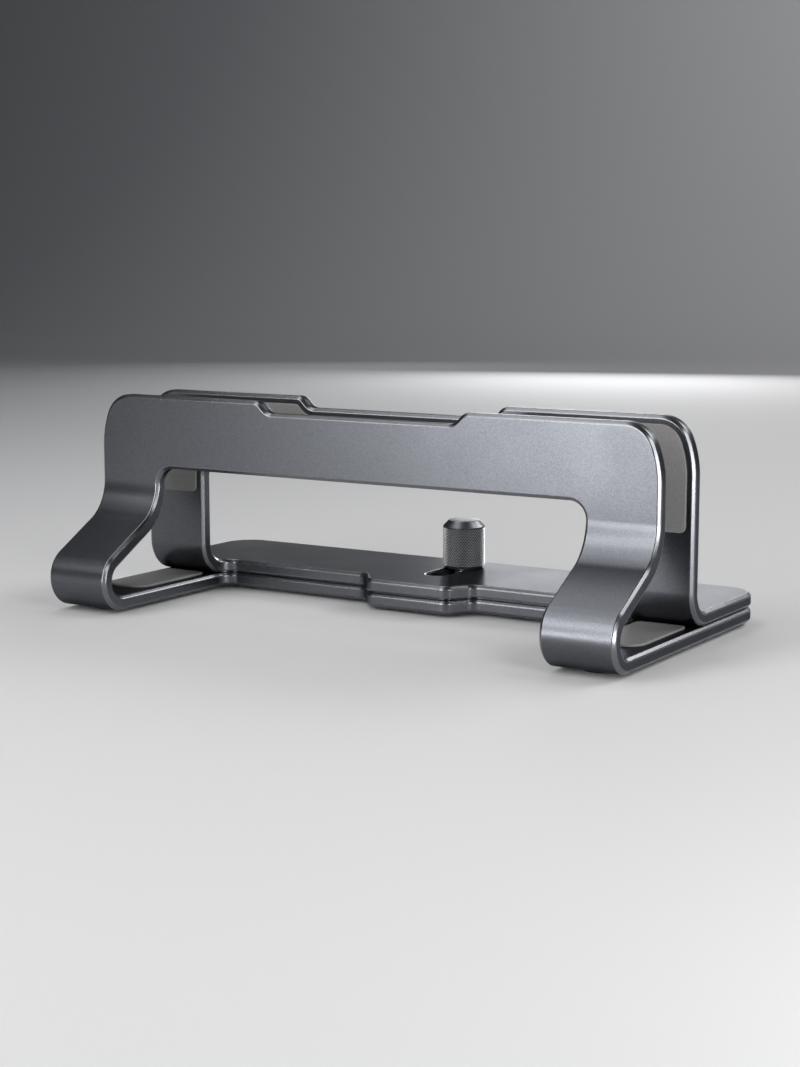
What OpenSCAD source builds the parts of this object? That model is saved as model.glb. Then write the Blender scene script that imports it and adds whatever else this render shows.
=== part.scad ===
// Vertical laptop stand: a bent base plate with two curled front legs, a
// sliding rear plate on top of it, and a knurled knob that clamps the two.
// X runs along the stand, Y from front to rear, Z up from the desk.

/* [Overall] */
// Length of both plates, left to right
plate_length = 184; // [170:1:220]
// Height of both walls above the underside of the base
wall_height = 61.6; // [58:0.2:80]
// Thickness of the two bent plates
plate_t = 4.2; // [3.5:0.1:4.5]

/* [Legs and bends] */
// Width of each leg, left and right of the window
leg_width = 21.4; // [18:0.2:26]
// Outside radius of the curled nose of each leg
nose_r = 8.85; // [8:0.05:9.5]
// Distance from the front of the noses to the front face of the wall
nose_overhang = 25.3; // [24:0.1:28]
// Slope of the leg between the nose and the upper bend, in degrees
leg_slope = 29.4; // [24:0.2:30]
// Front radius of the bend that turns each leg upright
neck_r = 13; // [10:0.5:15]
// Outside radius of the bend at the foot of the sliding wall
heel_r = 10.2; // [9:0.1:11]

/* [Wall outline] */
// Height of the band above the window
band_h = 21.5; // [16:0.1:24]
// Corner radius of the windows and of the leg roots
window_r = 4.8; // [4:0.1:8]
// Radius of the top outer corners
corner_r = 9; // [7:0.1:11]
// Large radius that runs from each side into the top corner
side_r = 28; // [24:0.5:32]
// Turn of the large side radius, in degrees
side_turn = 22; // [16:1:24]
// Depth of the finger notch in the top edge
notch_depth = 3.3; // [3:0.1:5]
// Length of the notch floor
notch_floor = 58.4; // [40:0.2:70]
// Radius of the rounds at each end of the notch
notch_r = 3.6; // [2:0.1:4]
// Slope of the notch ends, in degrees
notch_slope = 45; // [40:1:50]

/* [Foot outline] */
// Depth of the sliding foot, rear edge to front edge
foot_depth = 37.9; // [36:0.1:60]
// Distance from the end of the heel bend to the foot's front edge
edge_gap = 1.3; // [0.5:0.1:4]
// Radius of the rear corners
rear_r = 10; // [6:0.5:14]
// Reach of the middle tongue past the foot's front edge
tongue_reach = 7.5; // [6:0.1:8.5]
// Length of the tongue's straight front
tongue_front = 23; // [18:0.5:40]
// Radius of the rounds at each end of the tongue
tongue_r = 4; // [3:0.1:4.5]
// Slope of the tongue's ends, in degrees
tongue_slope = 55; // [50:1:60]

/* [Width setting] */
// Clear distance between the two bare walls at the narrowest setting
wall_gap = 17.4; // [15:0.1:18]
// Travel of the sliding plate
travel = 15.5; // [10:0.5:16]
// Distance from the rear edge to the knob's axis
knob_setback = 11.4; // [10:0.1:16]

/* [Knob] */
// Diameter of the knurled grip
knob_d = 12.8; // [10:0.2:14]
// Height of the knob
knob_h = 14.1; // [12:0.1:18]
// Chamfer round the knob's top
knob_bevel = 1.8; // [1:0.05:2]
// Diameter of the stud
stud_d = 6; // [5:0.5:6]
// Length of the stud inside the knob
stud_in_knob = 9; // [6:0.5:11]
// Diameter of the washer under the knob
washer_d = 11.4; // [10:0.2:12.4]
// Thickness of the washer
washer_t = 0.4; // [0.4:0.1:1]

/* [Insert and guides] */
// Diameter of the threaded insert's shank
insert_d = 8.6; // [8:0.1:9.4]
// Diameter of the insert's flange
flange_d = 12; // [11:0.5:14]
// Thickness of the insert's flange
flange_t = 1.2; // [0.8:0.1:1.5]
// Diameter of the guide pins
pin_d = 4; // [3:0.5:5]
// Distance between the two guide pins
pin_spread = 110; // [80:1:120]
// Height of the guide pins above the base plate
pin_rise = 1.8; // [1.4:0.1:2]

/* [Pads] */
// Thickness of the wall and base pads
pad_t = 0.6; // [0.5:0.1:1.3]
// Width of the wall left bare round each wall pad
pad_inset = 2.3; // [1:0.1:3]
// Width of the leg left bare beside each base pad
base_pad_inset = 3.5; // [2:0.1:4.5]
// Distance from the top of the rear wall to its pad's lower ends
pad_drop = 31; // [27:0.5:34]
// Small corner radius of the pads
pad_r = 1.8; // [1:0.1:2.4]
// Front corner radius of the base pads
pad_nose_r = 5; // [3:0.5:7]
// Distance from the noses to the front of the base pads
pad_front = 20.8; // [18:0.2:22]
// Distance from the base pads to the start of the sliding foot's flat
pad_rear = 5.4; // [5:0.1:7]

/* [Rubber feet] */
// Diameter of the rubber feet
rubber_d = 12; // [9:0.5:15]
// Thickness of the rubber feet
rubber_t = 1; // [0.8:0.1:1.5]
// Distance from the noses to the middle of the front feet
rubber_front = 16; // [15:0.5:20]
// Distance from the rear edge to the middle of the rear feet
rubber_rear = 12; // [9:0.5:16]

/* [Hidden] */
$fn = 96;

// clearances, overruns, and how far the runs and bends of one plate pass
// over each other where they meet, across the plate and along it
cut_over = 1;
snug = 0.002;
scarf = 0.6;
pad_lift = 0.4;
slot_play = 0.3;
guide_play = 0.25;
thread_play = 0.05;
washer_play = 0.2;
stud_end_gap = 0.5;
pin_seat = 2.6;
guide_head_gap = 0.4;

// levels
z_base = rubber_t;
z_foot = z_base + plate_t;
z_top = z_base + wall_height;
z_knob = z_foot + plate_t + washer_t;

window_top = wall_height - band_h;
pad_low = wall_height - pad_drop;

// places along X
half = plate_length / 2;
leg_in = half - leg_width;
leg_mid = half - leg_width / 2;

// places along Y
slot_depth = plate_t + wall_gap + heel_r + edge_gap;
base_depth = nose_overhang + slot_depth + foot_depth;
y_nose = -base_depth / 2;
y_rear = base_depth / 2;
y_wall = y_nose + nose_overhang;
y_slide = y_wall + plate_t + wall_gap;
y_edge = y_rear - foot_depth;
y_knob = y_rear - knob_setback;
y_nose_mid = y_nose + nose_r;

// the leg's side view: nose centre, slope, neck centre
z_nose_mid = z_base + nose_r;
y_lean = y_nose_mid - nose_r * sin(leg_slope);
z_lean = z_nose_mid + nose_r * cos(leg_slope);
z_kink = z_lean + (y_wall - y_lean) * tan(leg_slope);
neck_cut = neck_r * tan((90 - leg_slope) / 2);
z_neck = z_kink + neck_cut;
slope_len = (y_wall - y_lean) / cos(leg_slope) - neck_cut;

// the wall's side and corner arcs
x_corner = half - side_r + (side_r - corner_r) * cos(side_turn);
z_corner = wall_height - corner_r;
z_side = z_corner - (side_r - corner_r) * sin(side_turn);

// angles, and the straight part and width of the notch's and tongue's ends
function degrees(a) = a * 180 / PI;
function polar(r, a) = [r * cos(a), r * sin(a)];
function tuck(r) = sqrt(2 * r * snug) / 2;
function ramp_len(d, r, a) = (d - 2 * r * (1 - cos(a))) / sin(a);
function ramp_width(d, r, a) = 2 * r * sin(a) + ramp_len(d, r, a) * cos(a);
notch_width = ramp_width(notch_depth, notch_r, notch_slope);
tongue_width = ramp_width(tongue_reach, tongue_r, tongue_slope);

// a bend of a plate, round the origin, from angle a0 to a1; its ends are cut
// on a slant, so that the straight runs lap it without a step
module bend(r_out, r_in, a0, a1) {
    steps = 4;
    reach = 2 * r_out;
    out = degrees(2 * scarf / r_out);
    in = degrees(tuck(r_in) / r_in);
    intersection() {
        difference() {
            circle(r = r_out + snug);
            circle(r = r_in + snug);
        }
        polygon(concat([[0, 0], polar(r_in, a0 + in)],
                       [polar(r_out + scarf, a0 - out)],
                       [for (k = [1:steps - 1])
                           polar(reach, a0 + (a1 - a0) * k / steps)],
                       [polar(r_out + scarf, a1 + out), polar(r_in, a1 - in)]));
    }
}

// a straight run of a plate, its upper face on the X axis from top[0] to
// top[1] and its lower face from low[0] to low[1]
module run(top, low) {
    polygon([[top[0], 0], [top[1], 0], [low[1], -plate_t], [low[0], -plate_t]]);
}

// draws a Y-Z profile and runs it along the whole plate
module along_x() {
    rotate([90, 0, 90]) translate([0, 0, -half])
        linear_extrude(height = plate_length) children();
}

// lifts an X-Z outline, with Z counted from the base, from y0 to y1
module along_y(y0, y1) {
    translate([0, y1, z_base]) rotate([90, 0, 0])
        linear_extrude(height = y1 - y0) children();
}

module along_z(z0, z1) {
    translate([0, 0, z0]) linear_extrude(height = z1 - z0) children();
}

module both_sides() {
    children();
    mirror([1, 0, 0]) children();
}

// side view of the base plate: flat, nose, slope, neck and upright
module base_profile() {
    flat = y_rear - y_nose_mid;
    rise = z_top - z_neck;
    translate([y_rear, z_base]) rotate(180)
        run([0, flat - tuck(nose_r)], [0, flat + scarf]);
    translate([y_nose_mid, z_nose_mid])
        bend(nose_r, nose_r - plate_t, 90 + leg_slope, 270);
    translate([y_lean, z_lean]) rotate(leg_slope)
        run([tuck(nose_r), slope_len + scarf],
            [-scarf, slope_len - tuck(neck_r + plate_t)]);
    translate([y_wall - neck_r, z_neck])
        bend(neck_r + plate_t, neck_r, leg_slope - 90, 0);
    translate([y_wall + plate_t, z_top]) rotate(-90)
        run([0, rise - tuck(neck_r + plate_t)], [0, rise + scarf]);
}

// side view of the sliding plate: upright, heel bend and foot
module slide_profile() {
    rise = z_top - z_foot;
    run_out = y_rear - y_slide;
    difference() {
        translate([y_slide, z_foot]) {
            translate([0, heel_r]) square([heel_r, rise - heel_r]);
            translate([heel_r, 0]) square([run_out - heel_r, heel_r]);
            translate([heel_r, heel_r]) circle(r = heel_r);
        }
        translate([y_slide, z_foot]) {
            translate([plate_t, heel_r]) square([run_out, rise]);
            translate([heel_r, plate_t]) square([run_out, rise]);
            translate([heel_r, heel_r]) circle(r = heel_r - plate_t);
        }
    }
}

// front view of a wall, drawn in by e all round, without its window
module wall_shape(e) {
    up = [-sin(notch_slope), cos(notch_slope)];
    dip = [notch_floor / 2, wall_height - notch_depth + notch_r];
    crest = [notch_floor / 2 + notch_width, wall_height - notch_r];
    difference() {
        union() {
            translate([-half + e, -cut_over])
                square([2 * (half - e), z_side + cut_over]);
            both_sides() {
                intersection() {
                    translate([half - side_r, z_side]) circle(r = side_r - e);
                    translate([0, z_side - side_r / 2])
                        square([half, side_r / 2 + (side_r - e) * sin(side_turn)]);
                }
                translate([x_corner, z_corner]) circle(r = corner_r - e + snug);
                translate(crest) circle(r = notch_r - e + snug);
                polygon([[-notch_r, z_side - notch_r], [x_corner, z_side - notch_r],
                         [x_corner, wall_height - e], [crest[0], wall_height - e],
                         crest + (notch_r - e) * up, dip - (notch_r + e) * up,
                         [dip[0], wall_height - notch_depth - e],
                         [-notch_r, wall_height - notch_depth - e]]);
            }
        }
        both_sides() translate(dip) circle(r = notch_r + e + snug);
    }
}

// the window with its two rounded top corners, drawn larger by e
module window_shape(e) {
    r = window_r + e;
    for (s = [[leg_in + e, r], [leg_in + e - r, 0]])
        translate([-s[0], -2 * cut_over])
            square([2 * s[0], window_top + e - s[1] + 2 * cut_over]);
    both_sides() translate([leg_in + e - r, window_top + e - r]) circle(r = r);
}

module wall_outline() {
    difference() {
        wall_shape(0);
        window_shape(0);
    }
}

// plan of the middle tongue on the foot's front edge
module tongue_shape() {
    out = [sin(tongue_slope), -cos(tongue_slope)];
    tip = [tongue_front / 2, y_edge - tongue_reach + tongue_r];
    root = [tongue_front / 2 + tongue_width, y_edge - tongue_r];
    difference() {
        both_sides() {
            translate(tip) circle(r = tongue_r + snug);
            polygon([[-tongue_r, y_edge - tongue_reach],
                     [tip[0], y_edge - tongue_reach],
                     tip + tongue_r * out, root - tongue_r * out,
                     [root[0], y_edge], [root[0], y_edge + tongue_r],
                     [-tongue_r, y_edge + tongue_r]]);
        }
        both_sides() translate(root) circle(r = tongue_r + snug);
    }
}

// plan of a plate: legs at the front, rounded corners at the rear
module plan_outline() {
    front = y_nose - cut_over;
    difference() {
        union() {
            translate([-half, front])
                square([plate_length, y_rear - rear_r - front]);
            translate([rear_r - half, front])
                square([plate_length - 2 * rear_r, y_rear - front]);
            both_sides() translate([half - rear_r, y_rear - rear_r])
                circle(r = rear_r);
        }
        for (s = [[leg_in, window_r], [leg_in - window_r, 0]])
            translate([-s[0], front - cut_over])
                square([2 * s[0], y_edge - s[1] - front + cut_over]);
        both_sides() translate([leg_in - window_r, y_edge - window_r])
            circle(r = window_r);
    }
}

// a hole with round ends from y0 to y1
module slot_shape(r, y0, y1) {
    translate([-r, y0]) square([2 * r, y1 - y0]);
    for (y = [y0, y1]) translate([0, y]) circle(r = r);
}

module base_frame() {
    color([0.36, 0.37, 0.40]) difference() {
        union() {
            intersection() {
                along_x() base_profile();
                union() {
                    along_y(y_nose - cut_over, y_wall + plate_t + cut_over)
                        wall_outline();
                    along_z(z_base - cut_over, z_foot + cut_over)
                        plan_outline();
                }
            }
            along_z(z_base, z_foot) tongue_shape();
        }
        translate([0, y_knob, z_base - cut_over])
            cylinder(d = insert_d, h = plate_t + 2 * cut_over);
        translate([0, y_knob, z_base - cut_over])
            cylinder(d = flange_d, h = flange_t + cut_over);
        both_sides() translate([pin_spread / 2, y_knob, z_foot - pin_seat])
            cylinder(d = pin_d, h = pin_seat + cut_over);
    }
}

module sliding_frame() {
    color([0.40, 0.41, 0.44]) difference() {
        union() {
            intersection() {
                along_x() slide_profile();
                union() {
                    along_y(y_slide - cut_over, y_slide + plate_t + cut_over)
                        wall_outline();
                    along_z(z_foot - cut_over, z_foot + heel_r + cut_over)
                        plan_outline();
                }
            }
            along_z(z_foot, z_foot + plate_t) tongue_shape();
        }
        along_z(z_foot - cut_over, z_foot + plate_t + cut_over)
            slot_shape(stud_d / 2 + slot_play, y_knob - travel, y_knob);
        both_sides() translate([pin_spread / 2, 0, 0])
            along_z(z_foot - cut_over, z_foot + pin_rise + guide_head_gap)
                slot_shape(pin_d / 2 + guide_play, y_knob - travel, y_knob);
    }
}

// an upside-down U that follows the wall's edge; its ends stop at height low
module pad_shape(low) {
    e = pad_inset;
    wide = leg_width - 2 * e;
    intersection() {
        difference() {
            wall_shape(e);
            window_shape(e);
        }
        union() {
            translate([-half, low + pad_r]) square([plate_length, wall_height]);
            both_sides() {
                translate([leg_in + e + pad_r, low])
                    square([wide - 2 * pad_r, 2 * pad_r]);
                for (x = [leg_in + e + pad_r, half - e - pad_r])
                    translate([x, low + pad_r]) circle(r = pad_r);
            }
        }
    }
}

module front_wall_pad() {
    color([0.45, 0.44, 0.43])
        along_y(y_wall + plate_t, y_wall + plate_t + pad_t)
            pad_shape(z_neck - z_base + pad_lift);
}

module rear_wall_pad() {
    color([0.45, 0.44, 0.43]) along_y(y_slide - pad_t, y_slide)
        pad_shape(pad_low);
}

module base_pad_right() {
    x0 = leg_in + base_pad_inset;
    x1 = half - base_pad_inset;
    y0 = y_nose + pad_front;
    y1 = y_slide + heel_r - pad_rear;
    color([0.45, 0.44, 0.43]) along_z(z_foot, z_foot + pad_t) {
        translate([x0, y0 + pad_nose_r])
            square([x1 - x0, y1 - y0 - pad_nose_r - pad_r]);
        translate([x0 + pad_nose_r, y0])
            square([x1 - x0 - 2 * pad_nose_r, 2 * pad_nose_r]);
        translate([x0 + pad_r, y1 - 2 * pad_r])
            square([x1 - x0 - 2 * pad_r, 2 * pad_r]);
        for (x = [x0 + pad_nose_r, x1 - pad_nose_r])
            translate([x, y0 + pad_nose_r]) circle(r = pad_nose_r);
        for (x = [x0 + pad_r, x1 - pad_r])
            translate([x, y1 - pad_r]) circle(r = pad_r);
    }
}

module base_pad_left() {
    mirror([1, 0, 0]) base_pad_right();
}

module rubber_foot(x, y) {
    color([0.09, 0.09, 0.10]) translate([x, y, 0])
        cylinder(d = rubber_d, h = rubber_t);
}

module foot_front_left() {
    rubber_foot(-leg_mid, y_nose + rubber_front);
}

module foot_front_right() {
    rubber_foot(leg_mid, y_nose + rubber_front);
}

module foot_rear_left() {
    rubber_foot(-leg_mid, y_rear - rubber_rear);
}

module foot_rear_right() {
    rubber_foot(leg_mid, y_rear - rubber_rear);
}

module knob() {
    r = knob_d / 2;
    color([0.30, 0.31, 0.33]) translate([0, y_knob, z_knob]) difference() {
        rotate_extrude()
            polygon([[0, 0], [r, 0], [r, knob_h - knob_bevel],
                     [r - knob_bevel, knob_h], [0, knob_h]]);
        translate([0, 0, -cut_over])
            cylinder(d = stud_d, h = stud_in_knob + cut_over);
    }
}

module stud() {
    color([0.62, 0.62, 0.64])
        translate([0, y_knob, z_base + stud_end_gap])
            cylinder(d = stud_d,
                     h = z_knob + stud_in_knob - z_base - stud_end_gap);
}

module washer() {
    color([0.10, 0.10, 0.11]) translate([0, y_knob, z_knob - washer_t])
        difference() {
            cylinder(d = washer_d, h = washer_t);
            translate([0, 0, -cut_over])
                cylinder(d = stud_d + 2 * washer_play,
                         h = washer_t + 2 * cut_over);
        }
}

module threaded_insert() {
    color([0.72, 0.60, 0.35]) translate([0, y_knob, z_base]) difference() {
        union() {
            cylinder(d = insert_d, h = plate_t);
            cylinder(d = flange_d, h = flange_t);
        }
        translate([0, 0, -cut_over])
            cylinder(d = stud_d + 2 * thread_play, h = plate_t + 2 * cut_over);
    }
}

module guide_pin_right() {
    color([0.62, 0.62, 0.64])
        translate([pin_spread / 2, y_knob, z_foot - pin_seat])
            cylinder(d = pin_d, h = pin_seat + pin_rise);
}

module guide_pin_left() {
    mirror([1, 0, 0]) guide_pin_right();
}

base_frame();
sliding_frame();
front_wall_pad();
rear_wall_pad();
base_pad_left();
base_pad_right();
foot_front_left();
foot_front_right();
foot_rear_left();
foot_rear_right();
knob();
stud();
washer();
threaded_insert();
guide_pin_left();
guide_pin_right();
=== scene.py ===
"""Looks of the vertical laptop stand, in metres, in the frame of its solids.

Plates are meshed from an unrolled outline (x across, s down along the outer
face) and laid on their side view, so that both bends, all edges and the
polished chamfers keep exact normals. Turned pieces come from profiles.
"""
import math

import bpy
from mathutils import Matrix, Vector
from mathutils.geometry import delaunay_2d_cdt


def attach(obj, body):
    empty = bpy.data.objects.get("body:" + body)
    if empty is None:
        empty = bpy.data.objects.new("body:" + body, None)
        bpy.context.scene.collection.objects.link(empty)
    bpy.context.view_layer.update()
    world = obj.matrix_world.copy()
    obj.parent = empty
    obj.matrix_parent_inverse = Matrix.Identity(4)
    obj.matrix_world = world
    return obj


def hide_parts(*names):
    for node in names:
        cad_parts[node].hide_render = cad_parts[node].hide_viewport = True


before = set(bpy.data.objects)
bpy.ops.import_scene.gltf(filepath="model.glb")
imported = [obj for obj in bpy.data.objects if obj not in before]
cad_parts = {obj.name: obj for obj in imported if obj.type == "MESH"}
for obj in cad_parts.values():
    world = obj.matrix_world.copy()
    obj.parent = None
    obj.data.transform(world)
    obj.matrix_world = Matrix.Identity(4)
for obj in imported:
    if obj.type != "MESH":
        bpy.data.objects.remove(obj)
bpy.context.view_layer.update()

# ------------------------------------------------ sizes, in mm and degrees
LENGTH, WALL_H, T = 184.0, 61.6, 4.2
LEG_W, NOSE_R, OVERHANG, SLOPE, NECK_R, HEEL_R = 21.4, 8.85, 25.3, 29.4, 13.0, 10.2
BAND, WIN_R, CORNER_R, SIDE_R, SIDE_TURN = 21.5, 4.8, 9.0, 28.0, 22.0
NOTCH_D, NOTCH_FLOOR, NOTCH_R, NOTCH_A = 3.3, 58.4, 3.6, 45.0
FOOT_D, EDGE_GAP, REAR_R = 37.9, 1.3, 10.0
TONGUE, TONGUE_FRONT, TONGUE_R, TONGUE_A = 7.5, 23.0, 4.0, 55.0
WALL_GAP, TRAVEL, KNOB_SETBACK = 17.4, 15.5, 11.4
KNOB_R, KNOB_H, BEVEL = 6.4, 14.1, 1.8
STUD_R, STUD_IN_KNOB, STUD_GAP = 3.0, 9.0, 0.5
WASHER_R, WASHER_BORE, WASHER_T = 5.7, 3.2, 0.4
INSERT_R, FLANGE_R, FLANGE_T, INSERT_BORE = 4.3, 6.0, 1.2, 3.05
PIN_R, PIN_X, PIN_RISE, PIN_SEAT = 2.0, 55.0, 1.8, 2.6
SLOT_R, GUIDE_R, GUIDE_DEPTH = 3.3, 2.25, 2.2
PAD_T, PAD_IN, PAD_R, PAD_DROP, PAD_LIFT = 0.6, 2.3, 1.8, 31.0, 0.4
BASE_PAD_IN, PAD_NOSE_R, PAD_FRONT, PAD_REAR = 3.5, 5.0, 20.8, 5.4
RUBBER_R, RUBBER_T, RUBBER_FRONT, RUBBER_REAR = 6.0, 1.0, 16.0, 12.0

# Detail that only the looks have
CHAMFER, CREASE, SLOT_CHAMFER, PAD_ROUND = 0.85, 0.28, 0.45, 0.25
DIAMONDS, ROWS, GROOVE, LAND, RIM = 44, 24, 0.36, 0.1, 0.35
PITCH, THREAD_DEPTH = 1.0, 0.45
HEEL_FLAT_X = 45.0      # inside this, the sliding plate's outline lies in the foot
PAD_FILL = 0.9

HALF = LENGTH / 2
LEG_IN, LEG_MID = HALF - LEG_W, HALF - LEG_W / 2
Z_BASE = RUBBER_T
Z_FOOT, Z_TOP = Z_BASE + T, Z_BASE + WALL_H
Z_KNOB = Z_FOOT + T + WASHER_T
DEPTH = OVERHANG + T + WALL_GAP + HEEL_R + EDGE_GAP + FOOT_D
Y_NOSE, Y_REAR = -DEPTH / 2, DEPTH / 2
Y_WALL = Y_NOSE + OVERHANG
Y_SLIDE = Y_WALL + T + WALL_GAP
Y_EDGE, Y_KNOB = Y_REAR - FOOT_D, Y_REAR - KNOB_SETBACK
Y_NOSE_MID, Z_NOSE_MID = Y_NOSE + NOSE_R, Z_BASE + NOSE_R


def rad(a):
    return a * math.pi / 180


def sin(a):
    return math.sin(rad(a))


def cos(a):
    return math.cos(rad(a))


Y_LEAN, Z_LEAN = Y_NOSE_MID - NOSE_R * sin(SLOPE), Z_NOSE_MID + NOSE_R * cos(SLOPE)
NECK_CUT = NECK_R * math.tan(rad((90 - SLOPE) / 2))
Z_NECK = Z_LEAN + (Y_WALL - Y_LEAN) * math.tan(rad(SLOPE)) + NECK_CUT
SLOPE_LEN = (Y_WALL - Y_LEAN) / cos(SLOPE) - NECK_CUT


def ramp_width(d, r, a):
    """Width of a step of depth d with rounds of radius r and a slope of a."""
    return 2 * r * sin(a) + (d - 2 * r * (1 - cos(a))) / sin(a) * cos(a)


# ------------------------------------------------------ side views of plates
class Path:
    """A plate's outer line in the side view, built up from lines and arcs.
    at(x, s) gives its point, its direction and that of the plate's depth."""

    def __init__(self, y, z, angle):
        self.end, self.angle, self.pieces, self.length = (y, z), angle, [], 0.0
        self.flat_x, self.flat_s = 0.0, (0.0, 0.0)

    def line(self, length):
        self.pieces.append((self.length, length, self.end, self.angle, None, 0))
        self.end = (self.end[0] + length * cos(self.angle),
                    self.end[1] + length * sin(self.angle))
        self.length += length
        return self

    def arc(self, r, turn):
        side = 1 if turn > 0 else -1
        c = (self.end[0] - side * r * sin(self.angle),
             self.end[1] + side * r * cos(self.angle))
        length = r * rad(abs(turn))
        self.pieces.append((self.length, length, c, self.angle, r, side))
        self.angle += turn
        self.end = (c[0] + side * r * sin(self.angle), c[1] - side * r * cos(self.angle))
        self.length += length
        return self

    def at(self, x, s):
        if abs(x) < self.flat_x and self.flat_s[0] < s < self.flat_s[1]:
            piece = self.pieces[-1]
        else:
            piece = self.pieces[0]
            for p in self.pieces:
                if s >= p[0] - 1e-9:
                    piece = p
        s0, _, c, angle, r, side = piece
        if r is None:
            y, z = c[0] + (s - s0) * cos(angle), c[1] + (s - s0) * sin(angle)
        else:
            angle += side * (s - s0) / r * 180 / math.pi
            y, z = c[0] + side * r * sin(angle), c[1] - side * r * cos(angle)
        return (y, z), (cos(angle), sin(angle)), (-sin(angle), cos(angle))

    def levels(self, step=3.0):
        """The values of s at which a side edge needs a point."""
        out = []
        for s0, length, _, _, r, _ in self.pieces:
            out.append(s0)
            if r:
                n = max(2, round(length / r * 180 / math.pi / step))
                out += [s0 + length * k / n for k in range(1, n)]
        return out + [self.length]

    def place(self, x, s, d):
        (y, z), t, n = self.at(x, s)
        return ((x, y + d * n[0], z + d * n[1]), (0, t[0], t[1]), (0, n[0], n[1]))


class Sheet:
    """A flat piece: its outline's s runs along axis, its depth along lift."""

    def __init__(self, origin, axis, lift):
        self.origin, self.axis, self.lift = origin, axis, lift

    def place(self, x, s, d):
        o, a, n = self.origin, self.axis, self.lift
        return (tuple(o[k] + (x if k == 0 else 0) + s * a[k] + d * n[k]
                      for k in range(3)), a, n)


base_path = (Path(Y_WALL, Z_TOP, -90).line(Z_TOP - Z_NECK).arc(NECK_R, SLOPE - 90)
             .line(SLOPE_LEN).arc(NOSE_R, 180 - SLOPE).line(Y_REAR - Y_NOSE_MID))
slide_path = (Path(Y_SLIDE, Z_TOP, -90).line(Z_TOP - Z_FOOT - HEEL_R).arc(HEEL_R, 90)
              .line(Y_REAR - Y_SLIDE - HEEL_R))
slide_path.flat_x = HEEL_FLAT_X
slide_path.flat_s = (slide_path.pieces[1][0], slide_path.pieces[-1][0])


# ------------------------------------------------------------------ outlines
def arc(cx, cs, r, a0, a1, step=4.0):
    n = max(2, math.ceil(abs(a1 - a0) / step))
    return [(cx + r * cos(a0 + (a1 - a0) * k / n), cs + r * sin(a0 + (a1 - a0) * k / n))
            for k in range(n + 1)]


def side(x, s0, s1, levels):
    """A straight edge at x from s0 to s1, with a point at each level."""
    lo, hi = min(s0, s1) + 0.05, max(s0, s1) - 0.05
    mid = [s for s in levels if lo < s < hi]
    return [(x, s) for s in ([s0] + (mid if s1 > s0 else mid[::-1]) + [s1])]


def no_doubles(points):
    out = []
    for p in points:
        if not out or math.dist(p, out[-1]) > 1e-4:
            out.append(p)
    return out


def mirrored(points):
    """Closes a right half, from the mid line to the mid line, with its mirror image."""
    points = no_doubles(points)
    return points + [(-x, s) for x, s in points[-2:0:-1]]


def wall_top(e):
    """Right half of a wall's top edge and upper corner, drawn in by e."""
    w = ramp_width(NOTCH_D, NOTCH_R, NOTCH_A)
    x0 = NOTCH_FLOOR / 2
    xc = HALF - SIDE_R + (SIDE_R - CORNER_R) * cos(SIDE_TURN)
    s_side = CORNER_R + (SIDE_R - CORNER_R) * sin(SIDE_TURN)
    return ([(0, NOTCH_D + e)]
            + arc(x0, NOTCH_D - NOTCH_R, NOTCH_R + e, 90, 90 - NOTCH_A)
            + arc(x0 + w, NOTCH_R, NOTCH_R - e, 270 - NOTCH_A, 270)
            + arc(xc, CORNER_R, CORNER_R - e, -90, -SIDE_TURN)
            + arc(HALF - SIDE_R, s_side, SIDE_R - e, -SIDE_TURN, 0, 2.0))


def plate_outline(path):
    s_end = path.length
    top = wall_top(0)
    return mirrored(top + side(HALF, top[-1][1], s_end - REAR_R, path.levels())
                    + arc(HALF - REAR_R, s_end - REAR_R, REAR_R, 0, 90) + [(0, s_end)])


def opening_outline(path, bent):
    """The window and the gap between the legs; bent maps a plan Y to s."""
    s_edge = in_foot(path, Y_EDGE)
    tw = ramp_width(TONGUE, TONGUE_R, TONGUE_A)
    x0 = TONGUE_FRONT / 2
    fillet = [(x, bent(y)) for x, y in
              arc(LEG_IN - WIN_R, Y_EDGE - WIN_R, WIN_R, 90, 0)]
    return mirrored(
        [(0, s_edge - TONGUE)]
        + arc(x0, s_edge - TONGUE + TONGUE_R, TONGUE_R, -90, TONGUE_A - 90)
        + arc(x0 + tw, s_edge - TONGUE_R, TONGUE_R, 90 + TONGUE_A, 90)
        + fillet
        + side(LEG_IN, fillet[-1][1], BAND + WIN_R, path.levels())
        + arc(LEG_IN - WIN_R, BAND + WIN_R, WIN_R, 0, -90) + [(0, BAND)])


def in_foot(path, y):
    """The s of a plan Y on a plate's flat foot."""
    return path.length - Y_REAR + y


def base_bent(y):
    return in_foot(base_path, y)


def slide_bent(y):
    s_foot, y_mid = slide_path.pieces[-1][0], Y_SLIDE + HEEL_R
    if y >= y_mid:
        return s_foot + y - y_mid
    return s_foot - HEEL_R * math.asin((y_mid - y) / HEEL_R)


def ring_hole(x, s, r, n=48):
    return [(x + r * cos(-360 * k / n), s + r * sin(-360 * k / n)) for k in range(n)]


def slot_hole(x, s0, s1, r):
    return no_doubles(arc(x, s1, r, 180, 0) + arc(x, s0, r, 0, -180))


def pad_outline(low):
    """A wall pad: an upside-down U whose ends stop at s = low."""
    e = PAD_IN
    cut = max(0.0, BAND + WIN_R - low + PAD_R) / (WIN_R + e)
    turn = -math.asin(cut) * 180 / math.pi
    return mirrored(wall_top(e) + [(HALF - e, low - PAD_R)]
                    + arc(HALF - e - PAD_R, low - PAD_R, PAD_R, 0, 90, 10)
                    + arc(LEG_IN + e + PAD_R, low - PAD_R, PAD_R, 90, 180, 10)
                    + arc(LEG_IN - WIN_R, BAND + WIN_R, WIN_R + e, turn, -90)
                    + [(0, BAND - e)])


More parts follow.
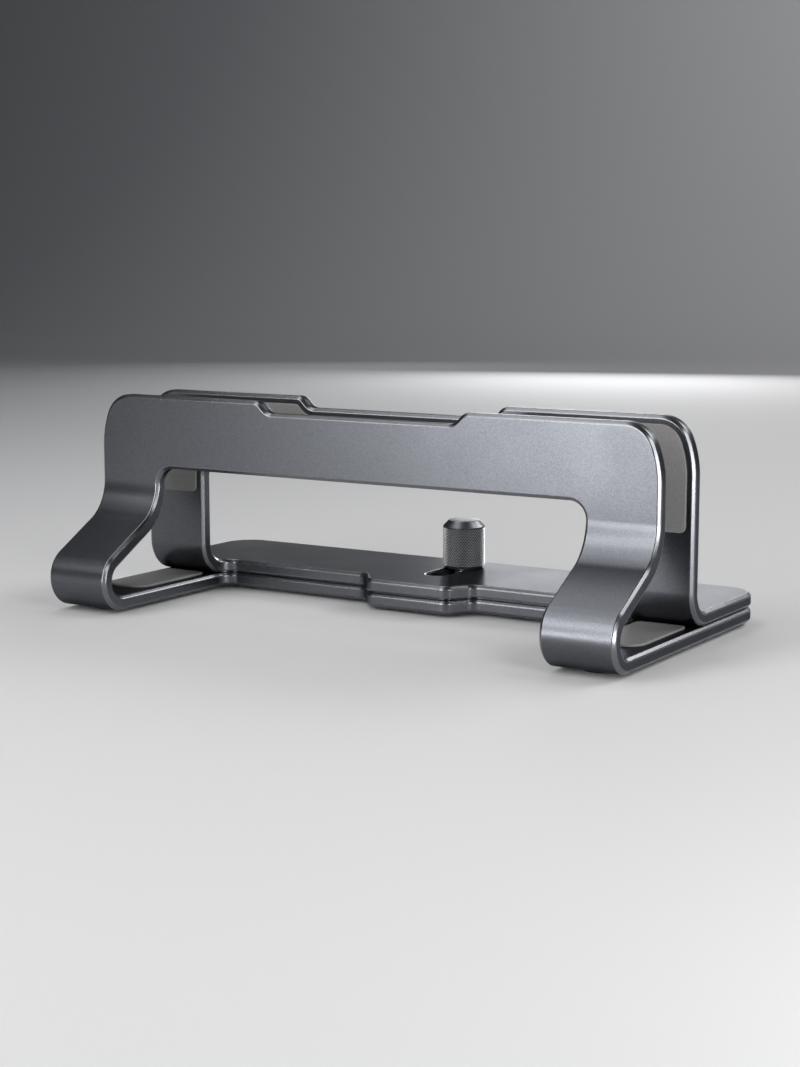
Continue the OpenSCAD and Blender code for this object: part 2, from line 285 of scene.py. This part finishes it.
# --------------------------------------------------------------------- edges
# An edge is a list of strips. A strip has two ends, each (inset from the
# outline, depth, normal), and the number of its material.
BODY, EDGE = 0, 1
Q = math.sqrt(0.5)


def eased(c):
    """A chamfer of leg c whose two lines are broken by small rounds."""
    g, near, turn = CREASE, CREASE * (1 - Q) / 4, 22.5
    line = [((c + g, 0), (0, -1)), ((c + near, g * Q / 4), (sin(turn), -cos(turn))),
            ((c - g * Q, g * Q), (Q, -Q)), ((g * Q, c - g * Q), (Q, -Q)),
            ((g * Q / 4, c + near), (cos(turn), -sin(turn))), ((0, c + g), (1, 0))]
    return [((*p, n), (*q, k), EDGE) for (p, n), (q, k) in zip(line, line[1:])]


def upright(low, high, inset=0.0):
    """A plain strip straight through the sheet, between two depths."""
    return (inset, low, (1, 0)), (inset, high, (1, 0)), BODY


def flipped(strips, t):
    """The same strips on the other face of a sheet of thickness t."""
    def flip(p):
        return p[0], t - p[1], (p[2][0], -p[2][1])
    return [(flip(b), flip(a), slot) for a, b, slot in strips[::-1]]


def chamfered(t, low, high):
    """The edge of a sheet with chamfers of legs low and high; 0 is square."""
    start, end = low + CREASE if low else 0, t - (high + CREASE if high else 0)
    return ((eased(low) if low else []) + [upright(start, end)]
            + (flipped(eased(high), t) if high else []))


def rounded(t, r, at_low, n=5):
    """An edge with one side rounded, the other square."""
    turns = [90 * k / n for k in range(n + 1)]
    bend = [(r * (1 - sin(a)), r * (1 - cos(a)), (sin(a), -cos(a))) for a in turns]
    strips = [(p, q, BODY) for p, q in zip(bend, bend[1:])] + [upright(r, t)]
    return strips if at_low else flipped(strips, t)


# -------------------------------------------------------------- mesh builders
class Shape:
    """Collects points in mm, faces, their materials and a normal for each corner."""

    def __init__(self, name):
        self.name = name
        self.points, self.faces, self.normals, self.slots = [], [], [], []

    def point(self, p):
        self.points.append(p)
        return len(self.points) - 1

    def face(self, corners, normals, slot=BODY):
        self.faces.append(corners)
        self.normals += normals
        self.slots.append(slot)

    def flat_face(self, corners, slot=BODY):
        self.face(corners, [self.flat_normal(corners)] * len(corners), slot)

    def flat_normal(self, corners):
        a, b, c = (Vector(self.points[i]) for i in corners[:3])
        return tuple((b - a).cross(c - a).normalized())

    def build(self, materials, body, node, slot, soft=None):
        mesh = bpy.data.meshes.new(self.name)
        mesh.from_pydata([tuple(c * 0.001 for c in p) for p in self.points],
                         [], self.faces)
        for m in materials:
            mesh.materials.append(m)
        mesh.polygons.foreach_set("material_index", self.slots)
        mesh.polygons.foreach_set("use_smooth", [True] * len(self.faces))
        mesh.normals_split_custom_set([Vector(n).normalized() for n in self.normals])
        mesh.update()
        piece = bpy.data.objects.new(self.name, mesh)
        bpy.context.scene.collection.objects.link(piece)
        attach(piece, body)
        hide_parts(node)


def outward(points):
    """Mitred outward normal of each point; the material is on the left."""
    n, out = len(points), []
    for i in range(n):
        (x0, y0), (x1, y1), (x2, y2) = points[i - 1], points[i], points[(i + 1) % n]
        a, b = math.hypot(x1 - x0, y1 - y0), math.hypot(x2 - x1, y2 - y1)
        na = ((y1 - y0) / a, -(x1 - x0) / a)
        nb = ((y2 - y1) / b, -(x2 - x1) / b)
        k = 1 + na[0] * nb[0] + na[1] * nb[1]
        out.append(((na[0] + nb[0]) / k, (na[1] + nb[1]) / k))
    return out


def skirt(shape, where, outline, strips):
    """Adds the edge strips of one loop. Returns its first and its last ring,
    each a list of point numbers and one of unrolled positions."""
    mitres, rings = outward(outline), []
    for inset, depth, _ in [strips[0][0]] + [end for _, end, _ in strips]:
        flat = [(x - inset * nx, s - inset * ns)
                for (x, s), (nx, ns) in zip(outline, mitres)]
        rings.append(([shape.point(where.place(x, s, depth)[0]) for x, s in flat], flat))
    frames = []
    for (x, s), mitre in zip(outline, mitres):
        _, t_dir, d_dir = where.place(x, s, 0)
        out = Vector(mitre).normalized()
        frames.append((Vector((out[0], 0, 0)) + out[1] * Vector(t_dir), Vector(d_dir)))
    n = len(outline)
    for (a, b, slot), (ra, _), (rb, _) in zip(strips, rings, rings[1:]):
        na, nb = ([tuple(p * out + q * deep) for out, deep in frames]
                  for _, _, (p, q) in (a, b))
        for i in range(n):
            j = (i + 1) % n
            shape.face((ra[i], ra[j], rb[j], rb[i]), [na[i], na[j], nb[j], nb[i]], slot)
    return rings[0], rings[-1]


def inside(x, s, points, edges):
    """Even-odd test of a position against closed loops."""
    odd = False
    for i, j in edges:
        (x0, s0), (x1, s1) = points[i], points[j]
        if (s0 > s) != (s1 > s) and x < x0 + (s - s0) * (x1 - x0) / (s1 - s0):
            odd = not odd
    return odd


def cap(shape, where, rings, sign):
    """Fills a sheet's face between its outer ring and its holes. The sign is
    -1 for the face at depth 0 and 1 for the other."""
    index = [i for numbers, _ in rings for i in numbers]
    flat = [p for _, positions in rings for p in positions]
    edges, start = [], 0
    for numbers, _ in rings:
        n = len(numbers)
        edges += [(start + i, start + (i + 1) % n) for i in range(n)]
        start += n
    made = delaunay_2d_cdt([Vector(p) for p in flat], edges, [], 0, 1e-6)
    coords, triangles, origin = made[0], made[2], made[3]
    for tri in triangles:
        mid = [sum(coords[k][axis] for k in tri) / len(tri) for axis in (0, 1)]
        if not inside(*mid, flat, edges):
            continue
        corners = [index[origin[k][0]] for k in tri]
        normals = [tuple(sign * c for c in where.place(*coords[k], 0)[2]) for k in tri]
        if sign < 0:
            corners, normals = corners[::-1], normals[::-1]
        shape.face(tuple(corners), normals)


def slab(name, where, t, loops):
    """A plate or pad of thickness t. Each loop is (outline, strips) of the
    outside or of a hole. A hole that stops short of a face is closed there."""
    shape = Shape(name)
    low, high = [], []
    for outline, strips in loops:
        first, last = skirt(shape, where, outline, strips)
        n = len(outline)
        if strips[0][0][1] == 0:
            low.append(first)
        else:
            shape.face(tuple(first[0][::-1]), [where.place(*first[1][0], 0)[2]] * n)
        if strips[-1][1][1] == t:
            high.append(last)
        else:
            back = tuple(-c for c in where.place(*last[1][0], 0)[2])
            shape.face(tuple(last[0]), [back] * n)
    cap(shape, where, low, -1)
    cap(shape, where, high, 1)
    return shape


def turned(shape, x, y, profile, n=96, slots=None, split=35.0):
    """Adds a surface of revolution. The profile is (r, z) points, from the
    bottom up the outside to the top; bends under split degrees look smooth."""
    segs = []
    for (r0, z0), (r1, z1) in zip(profile, profile[1:]):
        length = math.hypot(r1 - r0, z1 - z0)
        segs.append(((z1 - z0) / length, (r0 - r1) / length))

    def shade(k, other):
        a = segs[k]
        if 0 <= other < len(segs):
            b = segs[other]
            if a[0] * b[0] + a[1] * b[1] > cos(split):
                m = (a[0] + b[0], a[1] + b[1])
                size = math.hypot(*m)
                return m[0] / size, m[1] / size
        return a

    rings = []
    for r, z in profile:
        if r < 1e-6:
            rings.append([shape.point((x, y, z))] * n)
        else:
            rings.append([shape.point((x + r * cos(360 * i / n),
                                       y + r * sin(360 * i / n), z)) for i in range(n)])
    for k in range(len(segs)):
        a, b = shade(k, k - 1), shade(k, k + 1)
        for i in range(n):
            j = (i + 1) % n
            c = [(cos(360 * q / n), sin(360 * q / n)) for q in (i, j)]
            na = [(a[0] * p, a[0] * q, a[1]) for p, q in c]
            nb = [(b[0] * p, b[0] * q, b[1]) for p, q in c]
            corner = [(rings[k][i], na[0]), (rings[k][j], na[1]),
                      (rings[k + 1][j], nb[1]), (rings[k + 1][i], nb[0])]
            keep = [q for m, q in enumerate(corner) if q[0] not in
                    [p[0] for p in corner[:m]]]
            shape.face(tuple(q[0] for q in keep), [q[1] for q in keep],
                       slots[k] if slots else BODY)


def knurl(shape, y, z0, z1, r, upper):
    """A diamond knurl between z0 and z1: rows of flat-topped pyramids, whose
    upper facets take the material upper, a light copy painted as the highlight
    from above; the lower facets take slot 0, a dark copy painted as shade."""
    dz, da = (z1 - z0) / ROWS, 360 / DIAMONDS

    def at(i, j, rr):
        a = i * da
        return (rr * cos(a), y + rr * sin(a), z0 + j * dz)

    low = {}

    def valley(i, j):
        key = ((i * 2) % (DIAMONDS * 2), j)
        if key not in low:
            low[key] = shape.point(at(i, j, r - GROOVE))
        return low[key]

    for j in range(ROWS + 1):
        for k in range(DIAMONDS):
            i = k + 0.5 * (j % 2)
            mid = i + 0.5
            left, right = valley(i, j), valley(i + 1, j)
            pl, pr = shape.point(at(mid - LAND, j, r)), shape.point(at(mid + LAND, j, r))
            if j < ROWS:
                pa, up = shape.point(at(mid, j + 2 * LAND, r)), valley(mid, j + 1)
                # Facets that face up: the light copy, a painted highlight.
                for ids in ((left, pl, pa, up), (pl, pr, pa), (pr, right, up, pa)):
                    shape.flat_face(ids, upper)
            if j > 0:
                pb, down = shape.point(at(mid, j - 2 * LAND, r)), valley(mid, j - 1)
                # Facets that face down: slot 0, the dark copy, a painted shade.
                for ids in ((left, down, pb, pl), (pl, pb, pr), (pr, pb, down, right)):
                    shape.flat_face(ids)
            if j in (0, ROWS):
                out = 1 if j else -1
                rim = [shape.point(at(q, j + RIM * out, r - GROOVE)) for q in (i, i + 1)]
                ids = [left, pl, pr, right, rim[1], rim[0]][::out]
                for tri in ((0, 1, 5), (1, 2, 5), (2, 4, 5), (2, 3, 4)):
                    shape.flat_face(tuple(ids[m] for m in tri))


def threaded(shape, y, z0, z1, r, n=40, per_turn=10):
    """A right-hand thread with chamfered ends, as a grid."""
    rows = round((z1 - z0) / PITCH * per_turn)
    root, grid = r - THREAD_DEPTH, []
    for k in range(rows + 1):
        z = z0 + (z1 - z0) * k / rows
        ring = []
        for i in range(n):
            w = (z / PITCH - i / n) % 1.0
            rise = min(1.0, max(0.0, 1.6 - 4.2 * abs(w - 0.5)))
            rr = min(root + THREAD_DEPTH * rise, root + (z - z0), root + (z1 - z))
            ring.append(shape.point((rr * cos(360 * i / n),
                                     y + rr * sin(360 * i / n), z)))
        grid.append(ring)
    quads = [(a[i], a[(i + 1) % n], b[(i + 1) % n], b[i])
             for a, b in zip(grid, grid[1:]) for i in range(n)]
    sums = {}
    for q in quads:
        m = Vector(shape.flat_normal(q))
        for v in q:
            sums[v] = sums.get(v, Vector((0, 0, 0))) + m
    for q in quads:
        shape.face(q, [tuple(sums[v]) for v in q])
    for ring, nz in ((grid[0][::-1], -1), (grid[-1], 1)):
        shape.face(tuple(ring), [(0, 0, nz)] * n)


# ----------------------------------------------------------------- materials
class Nodes:
    """Small helper that writes a material's node tree."""

    def __init__(self, name):
        self.mat = bpy.data.materials.new(name)
        self.mat.use_nodes = True
        self.tree = self.mat.node_tree
        self.bsdf = self.tree.nodes["Principled BSDF"]
        self.coord = self.tree.nodes.new("ShaderNodeTexCoord")

    def set(self, **values):
        for key, value in values.items():
            socket = key.replace("_", " ").title().replace("Ior", "IOR")
            self.bsdf.inputs[socket].default_value = value

    def to(self, socket, source):
        self.tree.links.new(source, self.bsdf.inputs[socket])

    def node(self, kind, links=(), **values):
        n = self.tree.nodes.new(kind)
        for key, value in values.items():
            if hasattr(n, key):
                setattr(n, key, value)
            else:
                n.inputs[key.replace("_", " ").title()].default_value = value
        for socket, source in links:
            self.tree.links.new(source, n.inputs[socket])
        return n

    def noise(self, scale, detail=2.0, rough=0.5, stretch=None):
        vector = self.coord.outputs["Object"]
        if stretch:
            vector = self.node("ShaderNodeMapping", [("Vector", vector)],
                               scale=stretch).outputs[0]
        return self.node("ShaderNodeTexNoise", [("Vector", vector)], scale=scale,
                         detail=detail, roughness=rough).outputs["Fac"]

    def ramp(self, source, stops):
        n = self.node("ShaderNodeValToRGB", [("Fac", source)])
        for e, (pos, color) in zip(n.color_ramp.elements, stops):
            e.position, e.color = pos, (*color, 1)
        return n.outputs["Color"]

    def mottle(self, source, color, low, high, ends):
        """Base colour between two shades, from one end of a noise to the other."""
        shades = [tuple(c * k for c in color) for k in (low, high)]
        self.to("Base Color", self.ramp(source, list(zip(ends, shades))))

    def polish(self, source, rough, spread):
        """Roughness within spread of its mean."""
        ends = [(pos, (rough + k * spread,) * 3) for pos, k in ((0.3, -1), (0.7, 1))]
        self.to("Roughness", self.ramp(source, ends))

    def bump(self, height, strength, distance):
        n = self.node("ShaderNodeBump", [("Height", height)], strength=strength,
                      distance=distance)
        self.to("Normal", n.outputs["Normal"])


def anodised(name, color, rough, grain=0.5):
    """Bead-blasted, anodised aluminium: fine pits, faint clouding."""
    m = Nodes(name)
    fine, cloud = m.noise(2700, 3, 0.6), m.noise(60, 2)
    m.mottle(fine, color, 0.84, 1.16, (0.32, 0.68))
    m.polish(cloud, rough, 0.02)
    m.bump(m.noise(5200, 2, 0.6), grain, 0.00003)
    m.set(metallic=1.0, specular_tint=(0.35, 0.35, 0.36, 1))
    return m.mat


def polished(name, color, rough):
    """A cut, polished chamfer: bright, with slow changes of its polish."""
    m = Nodes(name)
    m.mottle(m.noise(120, 2), color, 0.97, 1.03, (0.35, 0.65))
    m.polish(m.noise(90, 2), rough, 0.015)
    m.set(metallic=1.0)
    return m.mat


def rubbery(name, color, rough, grain, specular=0.4):
    """Moulded rubber, silicone or nylon with a fine matt grain."""
    m = Nodes(name)
    m.mottle(m.noise(1500, 4, 0.6), color, 0.9, 1.1, (0.3, 0.7))
    m.polish(m.noise(400, 3), rough, 0.05)
    m.bump(m.noise(3200, 3, 0.6), grain, 0.00004)
    m.set(metallic=0.0, specular_ior_level=specular)
    return m.mat


def turned_metal(name, color, rough):
    """Lathe-turned metal: rings run round the upright axis."""
    m = Nodes(name)
    rings = m.noise(2600, 2, 0.5, stretch=(0.04, 0.04, 1.0))
    m.mottle(m.noise(1800, 2), color, 0.92, 1.06, (0.35, 0.65))
    m.polish(rings, rough, 0.05)
    m.bump(rings, 0.15, 0.00002)
    m.set(metallic=1.0)
    return m.mat


frame_mat = anodised("anodised_grey", (0.130, 0.135, 0.149), 0.30)
edge_mat = polished("cut_edge", (0.190, 0.197, 0.210), 0.27)
pad_mat = rubbery("grey_silicone", (0.205, 0.201, 0.199), 0.62, 0.35)
foot_mat = rubbery("black_rubber", (0.018, 0.018, 0.020), 0.75, 0.5)
# The knob's grey is painted lit and shaded: the light grey knurl material stands in for
# the highlight on facets that face up and on the top face, the dark one for the shade on
# facets that face down.
knob_shade_mat = anodised("knurled_grey_painted_shade", (0.075, 0.078, 0.084), 0.40, 0.3)
knurl_lit_mat = anodised("knurled_painted_highlight", (0.74, 0.75, 0.77), 0.40, 0.3)
knob_top_mat = turned_metal("knob_face", (0.150, 0.154, 0.165), 0.36)
steel_mat = turned_metal("plain_steel", (0.52, 0.52, 0.54), 0.32)
brass_mat = turned_metal("brass", (0.72, 0.53, 0.27), 0.30)
washer_mat = rubbery("black_nylon", (0.022, 0.022, 0.024), 0.50, 0.2, 0.5)

# --------------------------------------------------------------- bent plates
edge = chamfered(T, CHAMFER, CHAMFER)
s_knob = in_foot(base_path, Y_KNOB)
step = INSERT_R - FLANGE_R
counterbore = [upright(0, FLANGE_T),
               ((0, FLANGE_T, (0, -1)), (step, FLANGE_T, (0, -1)), BODY),
               upright(FLANGE_T, T, step)]
pin_seat = [upright(T - PIN_SEAT, T)]
slab("base_plate", base_path, T,
     [(plate_outline(base_path), edge), (opening_outline(base_path, base_bent), edge),
      (ring_hole(0, s_knob, FLANGE_R), counterbore)]
     + [(ring_hole(x, s_knob, PIN_R), pin_seat) for x in (-PIN_X, PIN_X)]).build(
         [frame_mat, edge_mat], "base", "base_frame", "frame")

s_slot = in_foot(slide_path, Y_KNOB)
guide = [upright(0, GUIDE_DEPTH)]
slab("sliding_plate", slide_path, T,
     [(plate_outline(slide_path), edge), (opening_outline(slide_path, slide_bent), edge),
      (slot_hole(0, s_slot - TRAVEL, s_slot, SLOT_R), chamfered(T, 0, SLOT_CHAMFER))]
     + [(slot_hole(x, s_slot - TRAVEL, s_slot, GUIDE_R), guide)
        for x in (-PIN_X, PIN_X)]).build(
         [frame_mat, edge_mat], "slider", "sliding_frame", "frame")

# ---------------------------------------------------------- pads and feet
down, back, up = (0, 0, -1), (0, 1, 0), (0, 0, 1)
slab("front_pad", Sheet((0, Y_WALL + T, Z_TOP), down, back), PAD_T,
     [(pad_outline(Z_TOP - Z_NECK - PAD_LIFT), rounded(PAD_T, PAD_ROUND, False))]).build(
         [pad_mat], "base", "front_wall_pad", "pad", PAD_FILL)
slab("rear_pad", Sheet((0, Y_SLIDE - PAD_T, Z_TOP), down, back), PAD_T,
     [(pad_outline(PAD_DROP), rounded(PAD_T, PAD_ROUND, True))]).build(
         [pad_mat], "slider", "rear_wall_pad", "pad", PAD_FILL)

x0, x1 = LEG_IN + BASE_PAD_IN, HALF - BASE_PAD_IN
y0, y1 = Y_NOSE + PAD_FRONT, Y_SLIDE + HEEL_R - PAD_REAR
right_pad = no_doubles(
    arc(x0 + PAD_NOSE_R, y0 + PAD_NOSE_R, PAD_NOSE_R, 180, 270, 6)
    + arc(x1 - PAD_NOSE_R, y0 + PAD_NOSE_R, PAD_NOSE_R, 270, 360, 6)
    + arc(x1 - PAD_R, y1 - PAD_R, PAD_R, 0, 90, 10)
    + arc(x0 + PAD_R, y1 - PAD_R, PAD_R, 90, 180, 10))
left_pad = [(-x, y) for x, y in right_pad[::-1]]
for tag, loop in (("left", left_pad), ("right", right_pad)):
    slab("base_pad_" + tag + "_look", Sheet((0, 0, Z_FOOT), back, up), PAD_T,
         [(loop, rounded(PAD_T, PAD_ROUND, False))]).build(
             [pad_mat], "base", "base_pad_" + tag, "pad", PAD_FILL)

# Each foot has a shallow recess underneath and a rounded lower edge.
recess, recess_in, rim_in, c = 0.12, 1.6, 1.3, 0.4
foot_profile = ([(0, recess), (RUBBER_R - recess_in, recess), (RUBBER_R - rim_in, 0)]
                + [(RUBBER_R - c + c * cos(a), c + c * sin(a)) for a in range(-90, 1, 15)]
                + [(RUBBER_R, RUBBER_T), (0, RUBBER_T)])
for row, y in (("front", Y_NOSE + RUBBER_FRONT), ("rear", Y_REAR - RUBBER_REAR)):
    for hand, x in (("left", -LEG_MID), ("right", LEG_MID)):
        foot = Shape("foot_" + row + "_" + hand + "_look")
        turned(foot, x, y, foot_profile, 64)
        foot.build([foot_mat], "base", "foot_" + row + "_" + hand, "foot")

# ------------------------------------------------------ knob and its hardware
# Slot 2 is the light copy of the knob's grey, a painted highlight on faces that point up.
TOP, LIT_FACE = 1, 2
knob = Shape("knob_look")
z_top, z_bevel = Z_KNOB + KNOB_H, Z_KNOB + KNOB_H - BEVEL
z_grip, z_grip_top = Z_KNOB + 0.45, z_bevel - 0.35
knurl(knob, Y_KNOB, z_grip, z_grip_top, KNOB_R, LIT_FACE)
r_low, rim = KNOB_R - GROOVE, RIM * (z_grip_top - z_grip) / ROWS
turned(knob, 0, Y_KNOB, [(STUD_R, Z_KNOB), (KNOB_R - 0.45, Z_KNOB),
                         (r_low, Z_KNOB + 0.2), (r_low, z_grip - rim)], 2 * DIAMONDS)
r_collar, r_top, c = KNOB_R - 0.02, KNOB_R - BEVEL, 0.14
# The upper part of the rim round and the flat top face take slot 2, the light copy: a
# painted highlight from above. The collar and bevel take the knob face material.
turned(knob, 0, Y_KNOB,
       [(r_low, z_grip_top + rim), (r_collar, z_bevel - 0.18), (r_collar, z_bevel - 0.05),
        (KNOB_R - 0.1, z_bevel + 0.06), (r_top + c * 1.2, z_top - c * 1.25),
        (r_top + c * 0.4, z_top - c * 0.45), (r_top - c * 0.9, z_top),
        (2.0, z_top), (0, z_top)],
       120, [TOP] * 5 + [LIT_FACE] * 3, 26)
knob.build([knob_shade_mat, knob_top_mat, knurl_lit_mat], "knob", "knob", "knob")

stud = Shape("stud_look")
threaded(stud, Y_KNOB, Z_BASE + STUD_GAP, Z_KNOB + STUD_IN_KNOB, STUD_R)
stud.build([steel_mat], "knob", "stud", "steel")

washer = Shape("washer_look")
c, z0 = 0.12, Z_KNOB - WASHER_T
turned(washer, 0, Y_KNOB,
       [(WASHER_BORE, z0 + c), (WASHER_BORE + c, z0), (WASHER_R - c, z0),
        (WASHER_R, z0 + c), (WASHER_R, Z_KNOB - c), (WASHER_R - c, Z_KNOB),
        (WASHER_BORE + c, Z_KNOB), (WASHER_BORE, Z_KNOB - c), (WASHER_BORE, z0 + c)], 64)
washer.build([washer_mat], "washer", "washer", "washer")

insert = Shape("insert_look")
c, z_flange = 0.2, Z_BASE + FLANGE_T
turned(insert, 0, Y_KNOB,
       [(INSERT_BORE, Z_BASE + c), (INSERT_BORE + c, Z_BASE), (FLANGE_R - c, Z_BASE),
        (FLANGE_R, Z_BASE + c), (FLANGE_R, z_flange), (INSERT_R, z_flange),
        (INSERT_R, Z_FOOT - c), (INSERT_R - c, Z_FOOT), (INSERT_BORE + c, Z_FOOT),
        (INSERT_BORE, Z_FOOT - c), (INSERT_BORE, Z_BASE + c)], 64)
insert.build([brass_mat], "base", "threaded_insert", "insert")

z0, z1 = Z_FOOT - PIN_SEAT, Z_FOOT + PIN_RISE
for tag, x in (("left", -PIN_X), ("right", PIN_X)):
    pin = Shape("guide_pin_" + tag + "_look")
    turned(pin, x, Y_KNOB, [(0, z0), (PIN_R - 0.2, z0), (PIN_R, z0 + 0.2),
                            (PIN_R, z1 - 0.4), (PIN_R - 0.1, z1 - 0.15),
                            (PIN_R - 0.4, z1), (0, z1)], 48)
    pin.build([steel_mat], "base", "guide_pin_" + tag, "steel")

# ---------------------------------------------- floor, light and camera, in m
X_FAR, Y_FRONT, Y_BACK, BEND, BACK_H = 4.0, -3.0, 2.2, 1.0, 4.0
line = ([(Y_FRONT, 0.0), (Y_BACK - BEND, 0.0)]
        + [(Y_BACK - BEND + BEND * sin(a), BEND - BEND * cos(a)) for a in range(6, 91, 6)]
        + [(Y_BACK, BACK_H)])
quads = [(2 * i, 2 * i + 1, 2 * i + 3, 2 * i + 2) for i in range(len(line) - 1)]
floor_mesh = bpy.data.meshes.new("floor")
floor_mesh.from_pydata([(x, y, z) for y, z in line for x in (-X_FAR, X_FAR)], [], quads)
floor_mesh.polygons.foreach_set("use_smooth", [True] * len(quads))
floor = bpy.data.objects.new("floor", floor_mesh)
bpy.context.scene.collection.objects.link(floor)
m = Nodes("floor_grey")
# Painted shade: the floor's colour darkens from light grey at x = -0.1 m to a darker
# blue-grey at x = -1.6 m, standing in for the dimmer left side of the set.
sep = m.node("ShaderNodeSeparateXYZ", [("Vector", m.coord.outputs["Object"])])
across = m.node("ShaderNodeMapRange", [("Value", sep.outputs["X"])],
                from_min=-1.6, from_max=-0.1)
m.to("Base Color", m.ramp(across.outputs[0], [(0.0, (0.36, 0.378, 0.40)),
                                              (1.0, (0.58, 0.58, 0.585))]))
m.set(roughness=0.85, specular_ior_level=0.2)
floor_mesh.materials.append(m.mat)


def panel(name, where, width, height, glow, aim=None):
    """A soft panel, turned to the stand unless aim is given; a low one stays
    upright. The glow is how bright the panel itself is."""
    data = bpy.data.lights.new(name, "AREA")
    data.shape, data.size, data.size_y = "RECTANGLE", width, height
    data.energy = math.pi * width * height * glow
    lamp = bpy.data.objects.new(name, data)
    lamp.location = where
    aim = Vector(aim or (0.0, -0.01, max(0.03, where[2]) if where[2] < 0.1 else 0.03))
    lamp.rotation_euler = (aim - Vector(where)).to_track_quat("-Z", "Y").to_euler()
    lamp.visible_camera = False
    bpy.context.scene.collection.objects.link(lamp)


panel("front_strip", (-0.12, -0.45, 0.035), 0.15, 0.06, 12.0)
panel("front_strip_left", (-0.27, -0.45, 0.035), 0.15, 0.06, 1.6)
panel("front", (-0.08, -0.65, 0.22), 0.25, 0.24, 6.6)
panel("front_high", (-0.29, -0.57, 0.47), 0.36, 0.30, 4.9)
panel("above_front", (-0.25, -0.32, 0.70), 0.40, 0.36, 2.5)
panel("above_left", (-0.30, 0.12, 0.75), 0.40, 0.36, 2.1)
panel("right_edge", (0.36, -0.19, 0.035), 0.14, 0.06, 16.0)
panel("right_front", (0.60, -0.32, 0.16), 0.20, 0.18, 8.0)
panel("right_high", (0.55, -0.30, 0.40), 0.24, 0.24, 5.0)
panel("behind", (-0.38, 0.95, 0.18), 0.26, 0.20, 7.4)
panel("behind_left", (-0.66, 0.95, 0.18), 0.26, 0.20, 1.0)
panel("behind_right", (0.45, 0.75, 0.60), 0.60, 0.30, 6.5)
panel("above_right", (0.45, 0.30, 0.65), 0.30, 0.30, 4.4)
panel("backdrop", (0.0, 1.0, 1.3), 1.6, 0.5, 5.0, (0.0, 2.2, 1.2))

world = bpy.data.worlds.new("studio")
bpy.context.scene.world = world
world.use_nodes = True
sky = world.node_tree.nodes["Background"].inputs
sky["Color"].default_value = (0.98, 1.0, 1.03, 1)
sky["Strength"].default_value = 0.06

cam_data = bpy.data.cameras.new("camera")
cam_data.lens, cam_data.sensor_width, cam_data.sensor_fit = 88.35, 36.0, "HORIZONTAL"
cam_data.clip_start = 0.01
cam = bpy.data.objects.new("camera", cam_data)
cam.location = (0.2971, -0.4764, 0.1093)
cam.rotation_euler = (math.radians(81.389), 0, math.radians(31.957))
bpy.context.scene.collection.objects.link(cam)
bpy.context.scene.camera = cam
bpy.context.scene.view_settings.view_transform = "Standard"
